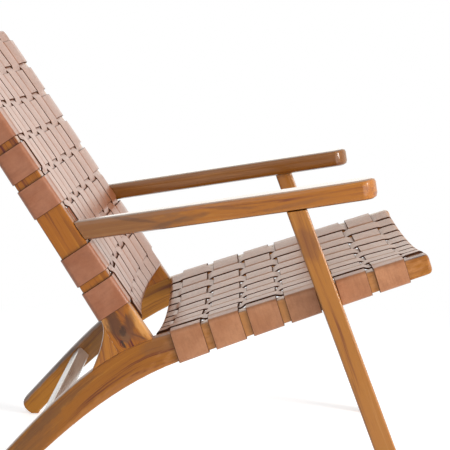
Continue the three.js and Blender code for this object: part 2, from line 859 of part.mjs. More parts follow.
// Stand the profile frame up, facing -Y, and centre it over the origin
profile.applyMatrix4(new THREE.Matrix4().makeBasis(
  new THREE.Vector3(0, -1, 0),
  new THREE.Vector3(0, 0, 1),
  new THREE.Vector3(-1, 0, 0),
));
const chair = new THREE.Group();
chair.add(profile);
chair.updateMatrixWorld(true);
const bounds = new THREE.Box3().setFromObject(chair, true);
profile.position.y -= (bounds.min.y + bounds.max.y) / 2;

export default chair;
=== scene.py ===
"""A teak lounge chair whose seat and back are woven from flat leather straps, in studio light.

Sizes of the chair are the CAD part's own, in millimetres, and meshes are made in metres. In the
side view x runs forward from where the lines of seat and back meet, and y runs up from the floor.
A woven panel has a frame of its own from that meeting point: a station along it, and a height out
of its face.
"""

import math
import random

import bmesh
import bpy
import numpy as np
from mathutils import Matrix, Vector


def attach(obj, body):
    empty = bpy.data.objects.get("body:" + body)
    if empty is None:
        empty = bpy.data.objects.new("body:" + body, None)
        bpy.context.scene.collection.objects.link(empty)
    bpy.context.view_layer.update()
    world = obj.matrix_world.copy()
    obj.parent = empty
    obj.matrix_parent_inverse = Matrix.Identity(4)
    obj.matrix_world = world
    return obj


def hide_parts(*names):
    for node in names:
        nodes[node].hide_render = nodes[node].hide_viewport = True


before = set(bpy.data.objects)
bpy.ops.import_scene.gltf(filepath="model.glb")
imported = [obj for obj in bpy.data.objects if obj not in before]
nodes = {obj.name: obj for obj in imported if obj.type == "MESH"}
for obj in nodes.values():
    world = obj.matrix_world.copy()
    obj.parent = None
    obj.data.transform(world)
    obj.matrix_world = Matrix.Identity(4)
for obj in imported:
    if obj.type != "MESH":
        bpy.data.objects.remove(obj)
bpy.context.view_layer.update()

MM = 0.001

# Frame of the chair, with angles in degrees. The centre shift is how far ahead of the meeting
# point the middle of the CAD box lies
INNER_WIDTH = 540.0
SIDE_THICKNESS = 28.0
JOINT_HEIGHT = 269.2
SEAT_SLOPE = 17.87
BACK_LEAN = 33.9
CENTRE_SHIFT = 39.0064
WOOD_ROUND = 4.0
HALF_INNER = INNER_WIDTH / 2
SIDE_OUTER = HALF_INNER + SIDE_THICKNESS

# Leather straps
STRAP = 49.0
THICK = 3.0
CLEAR = 0.3
CROSS_GAP = 12.0
LONG_COUNT = 9
LONG_MARGIN = 6.3
SIDE_TAIL = 22.0
RIM_TAIL = 17.0
HALF = STRAP / 2
LIFT = THICK / 2 + CLEAR
OFFSET = (THICK + CLEAR) / 2
CROSS_PITCH = STRAP + CROSS_GAP
LONG_PITCH = (INNER_WIDTH - 2 * LONG_MARGIN - STRAP) / (LONG_COUNT - 1)

# Front leg and armrest
LEG_STATION = 276.5
LEG_TOP_WIDTH = 30.5
LEG_FLANK_GAP = 0.6
LEG_FOOT = 396.65
LEG_LEAN = 20.8
ARM_STATION = 199.5
ARM_SLOPE = 9.0

# Side rail with its rear leg, and back upright
NOSE_LEAD = 5.8
NOSE_RADIUS = 9
RAIL_FRONT_DEPTH = 31.2
RAIL_BELLY = (200, 36.7)
RAIL_KNEE = (30, 46)
REAR_TOP_END = (-279.7, 33.2)
REAR_TOP_SLOPE = 47
REAR_PULL_HIGH = 110.5
REAR_PULL_LOW = 122
UPRIGHT_TOP_RADIUS = 7
UPRIGHT_TOP_DEPTH = 36
UPRIGHT_BELLY_SHARE = 0.44
UPRIGHT_BELLY_DEPTH = 42
FOOT_GAP = 1.5
FOOT_DEPTH = 51

# Seat panel. A bow is how far the panel's middle hangs at the rear, between and at the front
SEAT_BOW = (15.0, 12.5, 17.5)
SEAT_REAR_START = 6.0
SEAT_REAR_GAP = 1.2
SEAT_REAR_DEPTH = 24.0
SEAT_FRONT_GAP = 6.2
SEAT_FRONT_THICKNESS = 25
SEAT_FRONT_DEPTH = 25.0

# Back panel, whose rear is its bottom and whose front is its top
BACK_BOW = (16.5, 10.5, 18.0)
BACK_ROW_COUNT = 8
OPEN_ROW = 2
OPEN_ROW_RISE = 14.5
BACK_LOWER_GAP = 5.5
BACK_LOWER_THICKNESS = 28
BACK_TOP_GAP = 2.5
BACK_TOP_THICKNESS = 19
BACK_RAIL_DEPTH = 22.0
BACK_LONG_HALF = 28.0

# Middles of the cross straps, and the panels' ends
LEG_FLANK = (LEG_TOP_WIDTH + STRAP) / 2 + LEG_FLANK_GAP + CLEAR
SEAT_ROWS = [LEG_STATION - LEG_FLANK - k * CROSS_PITCH for k in (3, 2, 1, 0)]
SEAT_ROWS += [LEG_STATION + LEG_FLANK + k * CROSS_PITCH for k in (0, 1)]
BACK_ROWS = [ARM_STATION + OPEN_ROW_RISE + (k - OPEN_ROW) * CROSS_PITCH for k in range(BACK_ROW_COUNT)]
SEAT_FIRST, SEAT_LAST = SEAT_ROWS[0] - HALF, SEAT_ROWS[-1] + HALF
BACK_FIRST, BACK_LAST = BACK_ROWS[0] - HALF, BACK_ROWS[-1] + HALF
FOOT_STATION = BACK_FIRST - FOOT_GAP
RAIL_LENGTH = SEAT_LAST + SEAT_FRONT_GAP + SEAT_FRONT_THICKNESS + NOSE_LEAD
UPRIGHT_LENGTH = BACK_LAST + BACK_TOP_GAP + BACK_TOP_THICKNESS + THICK / 3
UPRIGHT_BELLY = FOOT_STATION + (UPRIGHT_LENGTH - FOOT_STATION) * UPRIGHT_BELLY_SHARE

# Centre lines of the straps. Their points are a step apart, smoothed over a short way, and every
# third is kept. A strap bulges by the crown where it crosses another. It eases out over a short
# way beyond the last one, and the edges of a long strap wander up or down a little
STEP = 1.0
SMOOTHING = 1.3
KEPT = slice(2, -2, 3)
CROWN = 0.45
RIM_EASE = 6
SIDE_EASE = 1
WANDER = 0.12
CURVE_POINTS = 200
UNDER_STEPS, BEND_STEPS, RIM_STEPS = 4, 7, 5

# The outer edge of an outermost long strap, which hangs between rows
DROOP_FROM = 0.2
DROOP_LEAD = 1
DROOP_SKEW = 0.63

# Seeds of the random draws
STRAP_SEED = 7919
WOOD_SEED = 4099


def cos_sin(degrees):
    angle = math.radians(degrees)
    return math.cos(angle), math.sin(angle)


def seat_point(station, height):
    """A point of the seat's frame in the side view."""
    c, s = cos_sin(SEAT_SLOPE)
    return station * c - height * s, JOINT_HEIGHT + station * s + height * c


def back_point(station, height):
    """A point of the back's frame in the side view."""
    c, s = cos_sin(BACK_LEAN)
    return -station * s + height * c, JOINT_HEIGHT + station * c + height * s


def to_model(x, y, side):
    return np.stack([-side, CENTRE_SHIFT - x, y], -1) * MM


def seat_place(station, height, side):
    return to_model(*seat_point(station, height), side)


def back_place(station, height, side):
    return to_model(*back_point(station, height), -side)


def depth_along(a, b, c):
    """Depth of a side member at a station, on a quadratic curve from a by b to c, each a
    station and a depth."""
    t = np.linspace(0, 1, CURVE_POINTS)[:, None]
    a, b, c = np.array(a), np.array(b), np.array(c)
    p = a * (1 - t) ** 2 + 2 * b * t * (1 - t) + c * t**2
    order = np.argsort(p[:, 0])
    return lambda station: float(np.interp(station, p[order, 0], p[order, 1]))


class Panel:
    """A woven panel: the middles of its cross straps, and the rails that its long straps go
    round, each as start, end and depth. A long strap reaches its full height at lead inside a
    row's edge, and the outer edge of an outermost one hangs by droop between rows."""

    def __init__(self, name, rows, rear, front, bow, place, depth, long_half, lead, droop):
        self.name = name
        self.rows = rows
        self.rear = rear
        self.front = front
        self.bow = bow
        self.place = place
        self.depth = depth
        self.long_half = long_half
        self.lead = lead
        self.droop = droop

    def middle(self, station, side):
        """Height of the weave's middle surface, which hangs between the rims and the sides."""
        station = np.asarray(station, float)
        centre = (self.rear[1] + self.front[0]) / 2
        half = (self.front[0] - self.rear[1]) / 2
        share = np.clip((station - centre) / half, -1, 1)
        edge = np.where(share < 0, self.bow[0], self.bow[2])
        sag = self.bow[1] + (edge - self.bow[1]) * share**2
        across = np.clip(np.asarray(side, float) / HALF_INNER, -1, 1)
        return LIFT - sag * (1 - across**2)


seat_front = SEAT_LAST + SEAT_FRONT_GAP
seat = Panel(
    name="seat",
    rows=SEAT_ROWS,
    rear=(SEAT_REAR_START, SEAT_FIRST - SEAT_REAR_GAP, SEAT_REAR_DEPTH),
    front=(seat_front, seat_front + SEAT_FRONT_THICKNESS, SEAT_FRONT_DEPTH),
    bow=SEAT_BOW,
    place=seat_place,
    depth=depth_along((RAIL_LENGTH - NOSE_RADIUS, RAIL_FRONT_DEPTH), RAIL_BELLY, RAIL_KNEE),
    long_half=HALF,
    lead=0.0,
    droop=1.8,
)
back_lower = BACK_FIRST - BACK_LOWER_GAP
back_top = BACK_LAST + BACK_TOP_GAP
back = Panel(
    name="back",
    rows=BACK_ROWS,
    rear=(back_lower - BACK_LOWER_THICKNESS, back_lower, BACK_RAIL_DEPTH),
    front=(back_top, back_top + BACK_TOP_THICKNESS, BACK_RAIL_DEPTH),
    bow=BACK_BOW,
    place=back_place,
    depth=depth_along(
        (UPRIGHT_LENGTH - UPRIGHT_TOP_RADIUS, UPRIGHT_TOP_DEPTH),
        (UPRIGHT_BELLY, UPRIGHT_BELLY_DEPTH),
        (FOOT_STATION, FOOT_DEPTH),
    ),
    long_half=BACK_LONG_HALF,
    lead=1.5,
    droop=2.6,
)


# Centre lines of the straps

def long_centre(index):
    return ((LONG_COUNT - 1) / 2 - index) * LONG_PITCH


def eased(knots, at):
    """Values at the places, easing from each knot's value to the next one's."""
    xs, ys = np.array([k[0] for k in knots]), np.array([k[1] for k in knots])
    i = np.clip(np.searchsorted(xs, at, side="right") - 1, 0, len(xs) - 2)
    u = np.clip((at - xs[i]) / np.maximum(xs[i + 1] - xs[i], 1e-6), 0, 1)
    return ys[i] + (ys[i + 1] - ys[i]) * (1 - np.cos(math.pi * u)) / 2


def crown(centres, at, signs):
    """How much a strap bulges over each strap it crosses, away from it, as a share."""
    out = np.zeros_like(at)
    for centre, sign in zip(centres, signs):
        u = np.abs(at - centre) / HALF
        out += np.where(u < 1, sign * (1 - u**2) ** 2, 0)
    return out


def droop(panel, index, at, signs, v):
    """How far the outer edge of an outermost long strap hangs in the gaps between rows. It drops
    soon after the strap it crosses over."""
    if index not in (0, LONG_COUNT - 1):
        return 0.0
    outer = v if index == 0 else -v
    share = min(max((outer - DROOP_FROM) / (1 - DROOP_FROM), 0.0), 1.0)
    share = share * share * (3 - 2 * share)
    out = np.zeros_like(at)
    for k in range(len(panel.rows) - 1):
        if signs[k] == signs[k + 1]:
            continue
        low, high = panel.rows[k] + HALF, panel.rows[k + 1] - HALF
        gone = at - low if signs[k] > 0 else high - at
        u = np.clip((gone - DROOP_LEAD) / (high - low - DROOP_LEAD), 0, 1)
        out += np.sin(math.pi * u**DROOP_SKEW)
    return out * share * panel.droop


def smooth(values):
    """The values with a Gaussian blur, and each end's value carried on beyond it."""
    reach = int(4 * SMOOTHING / STEP) + 1
    kernel = np.exp(-0.5 * (np.arange(-reach, reach + 1) * STEP / SMOOTHING) ** 2)
    kernel /= kernel.sum()
    padded = np.concatenate([np.full(reach, values[0]), values, np.full(reach, values[-1])])
    return np.convolve(padded, kernel, mode="valid")


def arc(cx, cy, radius, start, end, steps):
    angles = np.linspace(start, end, steps + 1)
    return np.stack([cx + radius * np.cos(angles), cy + radius * np.sin(angles)], -1)


def line(x0, y0, x1, y1, steps):
    """Points from the first to the last, without either end."""
    u = np.linspace(0, 1, steps + 1)[1:-1, None]
    return np.array([x0, y0]) * (1 - u) + np.array([x1, y1]) * u


def hooked(rim_x, depth, face, tail):
    """A strap's way up round a rim whose outer face is at rim_x, from its tail underneath to
    the top, with the panel at larger x."""
    radius = WOOD_ROUND + LIFT
    inner = rim_x + WOOD_ROUND
    outer = rim_x - LIFT
    low, high = face - depth + WOOD_ROUND, face - WOOD_ROUND
    under = face - depth - LIFT
    return np.concatenate([
        np.array([[rim_x + tail, under]]),
        line(rim_x + tail, under, inner, under, UNDER_STEPS),
        arc(inner, low, radius, -math.pi / 2, -math.pi, BEND_STEPS),
        line(outer, low, outer, high, RIM_STEPS),
        arc(inner, high, radius, math.pi, math.pi / 2, BEND_STEPS),
    ])


def mirrored_hook(rim_x, depth, face, tail):
    """The same round a rim at the other end, from the top to the tail."""
    points = hooked(-rim_x, depth, face, tail)
    points[:, 0] *= -1
    return points[::-1]


def long_path(panel, index, side, wander):
    """Centre line of a long strap at one place across the chair: station and height."""
    rear_face = float(panel.middle(panel.rear[1], side)) - LIFT
    front_face = float(panel.middle(panel.front[0], side)) - LIFT
    start, end = panel.rear[0] + WOOD_ROUND, panel.front[1] - WOOD_ROUND
    first, last = panel.rows[0] - HALF, panel.rows[-1] + HALF
    signs = [1 if (r + index) % 2 == 0 else -1 for r in range(len(panel.rows))]
    knots = [(start, 0), (min(panel.rear[1], first - RIM_EASE), 0)]
    for row, sign in zip(panel.rows, signs):
        knots += [(row - HALF + panel.lead, sign), (row + HALF - panel.lead, sign)]
    knots += [(max(panel.front[0], last + RIM_EASE), 0), (end, 0)]
    at = np.arange(start, end, STEP)
    v = (side - long_centre(index)) / HALF
    height = panel.middle(np.clip(at, panel.rear[1], panel.front[0]), side)
    height = height + eased(knots, at) * OFFSET
    height = height + CROWN * crown(panel.rows, at, signs) * (1 - v * v)
    height = height - droop(panel, index, at, signs, v)
    height = smooth(height) + wander * v
    return np.concatenate([
        hooked(panel.rear[0], panel.rear[2], rear_face, RIM_TAIL),
        np.stack([at, height], -1)[KEPT],
        mirrored_hook(panel.front[1], panel.front[2], front_face, RIM_TAIL),
    ])


def cross_path(panel, row, station, wraps):
    """Centre line of a cross strap at one station: place across the chair and height."""
    centres = [long_centre(i) for i in range(LONG_COUNT)]
    signs = [-1 if (row + i) % 2 == 0 else 1 for i in range(LONG_COUNT)]
    knots = [(HALF_INNER + SIDE_EASE, 0)]
    for centre, sign in zip(centres, signs):
        knots += [(centre + HALF, sign), (centre - HALF, sign)]
    knots += [(-HALF_INNER - SIDE_EASE, 0)]
    end = SIDE_OUTER - WOOD_ROUND if wraps else HALF_INNER - CLEAR
    at = np.arange(-end, end, STEP)
    v = (station - panel.rows[row]) / HALF
    height = panel.middle(station, at) + eased(knots[::-1], at) * OFFSET
    height = height + CROWN * crown(centres, at, signs) * (1 - v * v)
    weave = np.stack([at, smooth(height)], -1)
    if not wraps:
        return np.concatenate([weave[:1], weave[KEPT], weave[-1:]])
    depth = panel.depth(station)
    return np.concatenate([
        hooked(-SIDE_OUTER, depth, 0.0, SIDE_TAIL),
        weave[KEPT],
        mirrored_hook(SIDE_OUTER, depth, 0.0, SIDE_TAIL),
    ])


# Meshes of the straps. A strap's section is places across it, as shares of its half width, each
# with half its thickness there. From strap to strap the leather's pattern moves on by so many metres

SECTION = [(-1.0, 0.9), (-0.993, 1.28), (-0.975, 1.46)]
SECTION += [(across, THICK / 2) for across in (-0.945, -0.62, -0.3, 0.0)]
SECTION += [(-across, half) for across, half in SECTION[-2::-1]]
PATTERN_SHIFT = 3.7
SHARP_ANGLE = 50


def store(mesh, name, values):
    attribute = mesh.attributes.new(name, "FLOAT_VECTOR", "POINT")
    attribute.data.foreach_set("vector", np.asarray(values, np.float32).ravel())


def strap_faces(count, length):
    """Quads of a closed strap, whose points are two faces of count rows, each length long."""
    grid = np.arange(2 * count * length).reshape(2, count, length)
    faces = []

    def strip(a, b, flip):
        quads = np.stack([a[:-1], a[1:], b[1:], b[:-1]], -1)
        faces.extend((quads[:, ::-1] if flip else quads).tolist())

    for k in range(count - 1):
        strip(grid[0, k], grid[0, k + 1], False)
        strip(grid[1, k], grid[1, k + 1], True)
    strip(grid[0, 0], grid[1, 0], True)
    strip(grid[0, -1], grid[1, -1], False)
    strip(grid[0, :, 0], grid[1, :, 0], False)
    strip(grid[0, :, -1], grid[1, :, -1], True)
    return faces


def strap_mesh(name, paths, across, place, seed):
    """A strap's closed mesh. paths is one centre line for each place in the section, all with
    as many points, and across is where each lies, for place(x, y, across)."""
    paths = np.array(paths)
    count, length = paths.shape[:2]
    tangent = np.gradient(paths, axis=1)
    tangent /= np.linalg.norm(tangent, axis=2, keepdims=True)
    normal = np.stack([-tangent[..., 1], tangent[..., 0]], -1)
    half = np.array([h for _, h in SECTION])[:, None, None]
    steps = np.linalg.norm(np.diff(paths[count // 2], axis=0), axis=1)
    sides = np.broadcast_to(np.array(across)[:, None], (count, length))
    mark = np.zeros((count, length, 3))
    mark[..., 0] = np.concatenate([[0], np.cumsum(steps)]) * MM + PATTERN_SHIFT * seed
    mark[..., 1] = np.array([a for a, _ in SECTION])[:, None] * HALF * MM
    mark[..., 2] = seed % 1.0
    verts = []
    for face in (1, -1):
        points = paths + face * half * normal
        verts.append(place(points[..., 0], points[..., 1], sides).reshape(-1, 3))
    mesh = bpy.data.meshes.new(name)
    mesh.from_pydata(np.concatenate(verts).tolist(), [], strap_faces(count, length))
    mesh.update()
    bm = bmesh.new()
    bm.from_mesh(mesh)
    bmesh.ops.recalc_face_normals(bm, faces=bm.faces)
    bm.to_mesh(mesh)
    bm.free()
    store(mesh, "strap", np.stack([mark, mark]))
    mesh.shade_smooth()
    mesh.set_sharp_from_angle(angle=math.radians(SHARP_ANGLE))
    return mesh


def add_piece(name, mesh, node, material):
    """A piece that takes the place of a CAD node."""
    piece = bpy.data.objects.new(name, mesh)
    bpy.context.scene.collection.objects.link(piece)
    mesh.materials.clear()
    mesh.materials.append(material)
    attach(piece, "root")
    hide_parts(node)
    return piece


# Materials

def srgb(r, g, b):
    def linear(v):
        v /= 255
        return v / 12.92 if v <= 0.04045 else ((v + 0.055) / 1.055) ** 2.4

    return (linear(r), linear(g), linear(b), 1.0)


GLOSS_SHARE = 0.042


def body(r, g, b):
    """Base colour of a surface that looks r, g, b with the white that its gloss adds."""
    return tuple(max(v - GLOSS_SHARE, 0.004) for v in srgb(r, g, b)[:3]) + (1.0,)


class Nodes:
    """Short ways to add shader nodes to a material or a world."""

    def __init__(self, owner):
        owner.use_nodes = True
        self.owner = owner
        self.tree = owner.node_tree
        self.shader = self.tree.nodes.get("Principled BSDF")

    def add(self, kind, inputs=None, **settings):
        node = self.tree.nodes.new(kind)
        for key, value in settings.items():
            setattr(node, key, value)
        for key, value in (inputs or {}).items():
            self.set(node.inputs[key], value)
        return node

    def set(self, socket, value):
        if isinstance(value, bpy.types.NodeSocket):
            self.tree.links.new(value, socket)
        else:
            socket.default_value = value

    def surface(self, inputs):
        """Sets inputs of the material's own shader."""
        for key, value in inputs.items():
            self.set(self.shader.inputs[key], value)

    def vector(self, name):
        return self.add("ShaderNodeAttribute", attribute_name=name).outputs["Vector"]

    def noise(self, vector, scale, detail, roughness):
        return self.add("ShaderNodeTexNoise", {
            "Vector": vector, "Scale": scale, "Detail": detail, "Roughness": roughness,
        }).outputs["Fac"]

    def stretched(self, vector, scale, detail, roughness, shift=(0, 0, 0)):
        """Noise with a scale of its own along each axis."""
        scaled = self.add("ShaderNodeMapping", {"Vector": vector, "Scale": scale, "Location": shift})
        return self.noise(scaled.outputs["Vector"], 1.0, detail, roughness)

    def math(self, operation, a, b=0.0, c=0.0):
        node = self.add("ShaderNodeMath", operation=operation)
        for socket, value in zip(node.inputs, (a, b, c)):
            self.set(socket, value)
        return node.outputs["Value"]

    def ramp(self, value, stops):
        node = self.add("ShaderNodeValToRGB", {"Fac": value})
        elements = node.color_ramp.elements
        while len(elements) < len(stops):
            elements.new(0.5)
        for element, (place, colour) in zip(elements, stops):
            element.position = place
            element.color = colour
        return node.outputs["Color"]

    def fade(self, value, low, high, to_low=0.0, to_high=1.0):
        """A smooth step from to_low to to_high while the value goes from low to high."""
        return self.add("ShaderNodeMapRange", {
            "Value": value, "From Min": low, "From Max": high, "To Min": to_low, "To Max": to_high,
        }, interpolation_type="SMOOTHSTEP").outputs["Result"]

    def mix(self, factor, a, b, blend="MIX"):
        node = self.add("ShaderNodeMix", data_type="RGBA", blend_type=blend)
        self.set(node.inputs[0], factor)
        self.set(node.inputs[6], a)
        self.set(node.inputs[7], b)
        return node.outputs[2]

    def times(self, colour, tint):
        return self.mix(1.0, colour, tint, "MULTIPLY")

    def bump(self, height, strength, distance):
        return self.add("ShaderNodeBump", {
            "Height": height, "Strength": strength, "Distance": distance,
        }).outputs["Normal"]


# Where a strap's face turns into its cut edge, in metres from its middle
CUT_EDGE = (0.0235, 0.0241)
CUT_COLOUR = srgb(84, 56, 42)


def leather(name, colour, pale, rough, sheen):
    """Vegetable-tanned strap leather: fine pebbled grain, soft mottling and dark cut edges. The
    attribute "strap" holds metres along and across the strap, and a number of its own."""
    n = Nodes(bpy.data.materials.new(name))
    where = n.vector("strap")
    parts = n.add("ShaderNodeSeparateXYZ", {"Vector": where})
    across = n.math("ABSOLUTE", parts.outputs["Y"])
    mottle = n.noise(where, 26.0, 3.0, 0.6)
    blotch = n.stretched(where, (70, 110, 1), 3.0, 0.6, shift=(3.0, 1.0, 0))
    drawn = n.stretched(where, (24, 260, 1), 3.0, 0.6, shift=(1.0, 5.0, 0))
    fine = n.noise(where, 420.0, 3.0, 0.6)
    darker = (0.70, 0.64, 0.60, 1)
    own_tone = (0.86, 0.84, 0.82, 1)
    tone = n.mix(n.fade(mottle, 0.32, 0.70), colour, pale)
    tone = n.mix(n.fade(blotch, 0.40, 0.72, 0.0, 0.34), tone, n.times(tone, darker))
    tone = n.mix(n.fade(drawn, 0.46, 0.74, 0.0, 0.30), tone, n.times(tone, darker))
    tone = n.mix(n.fade(fine, 0.40, 0.75, 0.0, 0.25), tone, n.times(tone, darker))
    tone = n.mix(n.fade(parts.outputs["Z"], 0.0, 1.0, 0.0, 0.40), tone, n.times(tone, own_tone))
    tone = n.mix(n.fade(across, *CUT_EDGE), tone, CUT_COLOUR)
    cells = n.add("ShaderNodeTexVoronoi", {"Vector": where, "Scale": 700.0}, feature="DISTANCE_TO_EDGE")
    pebbles = n.math("MINIMUM", cells.outputs["Distance"], 0.35)
    creases = n.stretched(where, (30, 90, 1), 5.0, 0.65)
    height = n.math("MULTIPLY_ADD", creases, 2.2, pebbles)
    n.surface({
        "Base Color": tone,
        "Normal": n.bump(height, 0.45, 0.0005),
        "Roughness": n.fade(fine, 0.2, 0.8, rough - 0.05, rough + 0.07),
        "Specular IOR Level": n.fade(across, *CUT_EDGE, 0.35, 0.0),
        "Coat Weight": n.fade(across, *CUT_EDGE, sheen, 0.0),
        "Coat IOR": 1.4,
        "Coat Roughness": 0.32,
    })
    return n.owner


def parted(n, along, across, flow, knot):
    """The grain's lines, pushed aside round a knot (along, across, size)."""
    x, y, size = knot
    dx = n.math("MULTIPLY", n.math("SUBTRACT", along, x), 0.75)
    dy = n.math("SUBTRACT", across, y)
    square = n.math("MULTIPLY_ADD", dx, dx, n.math("MULTIPLY", dy, dy))
    push = n.math("DIVIDE", size * size, n.math("ADD", square, 0.12 * size * size))
    return n.math("SUBTRACT", flow, n.math("MULTIPLY", dy, push))


def spotted(n, along, across, ragged, colour, spot):
    """The colour with a ragged spot (along, across, length, width, turn, colour, strength)."""
    x, y, length, width, turn, tint, strength = spot
    c, s = cos_sin(turn)
    dx, dy = n.math("SUBTRACT", along, x), n.math("SUBTRACT", across, y)
    u = n.math("MULTIPLY_ADD", dx, c / length, n.math("MULTIPLY", dy, s / length))
    v = n.math("MULTIPLY_ADD", dy, c / width, n.math("MULTIPLY", dx, -s / width))
    square = n.math("MULTIPLY_ADD", u, u, n.math("MULTIPLY", v, v))
    reach = n.math("MULTIPLY_ADD", n.math("SUBTRACT", ragged, 0.5), 1.6, square)
    return n.mix(n.fade(reach, 1.15, 0.15, 0.0, strength), colour, tint)


def teak(name, light, middle, dark, figure, streaks, knots=(), spots=(), coat=1.0, polish=0.12, ior=1.4):
    """Oiled teak. The attribute "grain" holds metres along, across and through the piece."""
    n = Nodes(bpy.data.materials.new(name))
    where = n.vector("grain")
    parts = n.add("ShaderNodeSeparateXYZ", {"Vector": where})
    along, across = parts.outputs["X"], parts.outputs["Y"]
    waver = n.stretched(where, (3.0, 9.0, 9.0), 2.0, 0.5)
    flow = n.math("MULTIPLY_ADD", waver, 0.03 * figure, across)
    for knot in knots:
        flow = parted(n, along, across, flow, knot)
    warped = n.add("ShaderNodeCombineXYZ", {"X": along, "Y": flow, "Z": parts.outputs["Z"]})
    warped = warped.outputs["Vector"]

    # Tone of the wood: broad growth, narrower bands and fibres
    broad = n.stretched(warped, (2.0, 40.0, 18.0), 3.0, 0.55)
    bands = n.stretched(warped, (4.0, 150.0, 60.0), 4.0, 0.6)
    fibre = n.stretched(warped, (16.0, 700.0, 400.0), 3.0, 0.6)
    tone = n.math("MULTIPLY_ADD", bands, 0.36, n.math("MULTIPLY", broad, 0.54))
    tone = n.math("MULTIPLY_ADD", n.math("SUBTRACT", fibre, 0.5), 0.24, n.math("ADD", tone, 0.07))
    colour = n.ramp(tone, [(0.40, dark), (0.49, middle), (0.56, middle), (0.68, light)])
    shade = n.times(colour, (0.56, 0.46, 0.34, 1))

    # Dark streaks, in flocks, and pores
    wisps = n.fade(n.stretched(warped, (5.0, 210.0, 80.0), 2.0, 0.5, shift=(3.1, 1.7, 0.4)), 0.56, 0.68)
    flocks = n.stretched(warped, (2.6, 26.0, 9.0), 2.0, 0.5, shift=(7.3, 2.2, 1.9))
    colour = n.mix(n.math("MULTIPLY", wisps, n.fade(flocks, 0.44, 0.60, 0.0, streaks)), colour, shade)
    pores = n.fade(n.stretched(warped, (50.0, 1400.0, 800.0), 2.0, 0.5), 0.60, 0.74, 0.0, 0.40)
    colour = n.mix(pores, colour, shade)
    ragged = n.stretched(warped, (60.0, 160.0, 60.0), 3.0, 0.6)
    for spot in spots:
        colour = spotted(n, along, across, ragged, colour, spot)

    height = n.math("MULTIPLY_ADD", pores, -1.0, n.math("MULTIPLY", fibre, 0.4))
    n.surface({
        "Base Color": colour,
        "Roughness": n.fade(fibre, 0.2, 0.8, 0.26, 0.40),
        "Normal": n.bump(height, 0.25, 0.0003),
        "Specular IOR Level": 0.2,
        "Coat Weight": coat,
        "Coat IOR": ior,
        "Coat Roughness": polish,
    })
    return n.owner


def beech(name):
    """Plain pale wood of the dowels."""
    n = Nodes(bpy.data.materials.new(name))
    grain = n.stretched(n.vector("grain"), (20, 300, 300), 3.0, 0.6)
    n.surface({
        "Base Color": n.ramp(grain, [(0.35, srgb(186, 146, 98)), (0.65, srgb(214, 180, 134))]),
        "Roughness": 0.6,
    })
    return n.owner


seat_leather = leather("seat_strap_leather", body(176, 123, 91), body(192, 139, 105), 0.42, 0.57)
back_leather = leather("back_strap_leather", body(160, 105, 79), body(172, 118, 92), 0.36, 0.66)
dowel_beech = beech("beech_dowel")

# Spots of the wood's figure. Those of the foot lie round its two knots
KNOT = srgb(52, 30, 16)
STREAK = srgb(96, 54, 26)
GOLD = srgb(216, 154, 84)
BIG_KNOT = (0.0349, 0.0312)
SMALL_KNOT = (0.0173, 0.0419)
foot_knots = [(*BIG_KNOT, 0.010), (*SMALL_KNOT, 0.006)]
foot_spots = [
    (0.030, 0.003, 0.032, 0.009, 0, GOLD, 0.8),
    (0.058, 0.046, 0.014, 0.007, 0, GOLD, 0.6),
    (0.052, 0.036, 0.030, 0.014, -10, srgb(84, 48, 24), 0.9),
    (0.036, 0.020, 0.026, 0.011, -40, srgb(98, 56, 28), 0.8),
    (0.066, 0.014, 0.022, 0.006, -24, srgb(128, 72, 34), 0.6),
    (0.020, 0.020, 0.016, 0.008, 30, srgb(120, 70, 36), 0.6),
    (0.024, 0.033, 0.012, 0.008, 0, srgb(118, 80, 50), 0.7),
    (0.0545, 0.0315, 0.017, 0.0024, -23, STREAK, 0.8),
    (0.044, 0.0165, 0.018, 0.0024, -20, STREAK, 0.8),
    (0.015, 0.015, 0.017, 0.0018, 35, STREAK, 0.7),
    (*BIG_KNOT, 0.009, 0.006, -20, KNOT, 0.75),
    (*SMALL_KNOT, 0.009, 0.0026, 0, KNOT, 0.95),
]
rail_spots = [
    (0.68, -0.020, 0.22, 0.060, 0, srgb(192, 132, 78), 0.75),
    (0.20, -0.020, 0.09, 0.030, 0, srgb(112, 72, 38), 0.5),
    (0.33, -0.050, 0.24, 0.013, 0, srgb(178, 116, 56), 0.6),
    (0.470, -0.012, 0.050, 0.014, 0, srgb(118, 74, 38), 0.55),
    (0.26, -0.010, 0.11, 0.009, 0, srgb(98, 60, 30), 0.6),
]
# The far rail's spots: a dark patch, and a painted highlight, a narrow grey stripe along the rear leg's
# top line for the light it reflects
left_rail_spots_and_highlight = [
    (0.30, -0.024, 0.09, 0.060, 0, srgb(92, 68, 48), 0.65),
    (0.17, 0.0, 0.24, 0.008, 0, srgb(122, 112, 110), 0.9),
]
arm_spots = [
    (0.05, 0.0, 0.13, 0.06, 0, srgb(118, 76, 42), 0.65),
    (0.085, 0.006, 0.040, 0.0035, -14, srgb(92, 54, 28), 0.6),
    (0.150, -0.006, 0.055, 0.0050, 7, srgb(96, 58, 30), 0.5),
    (0.230, 0.004, 0.045, 0.0035, -8, srgb(112, 66, 32), 0.5),
    (0.330, -0.005, 0.060, 0.0040, 4, srgb(120, 72, 36), 0.45),
]
leg_spots = [(0.452, 0.0, 0.03, 0.02, 0, srgb(120, 68, 30), 0.6)]

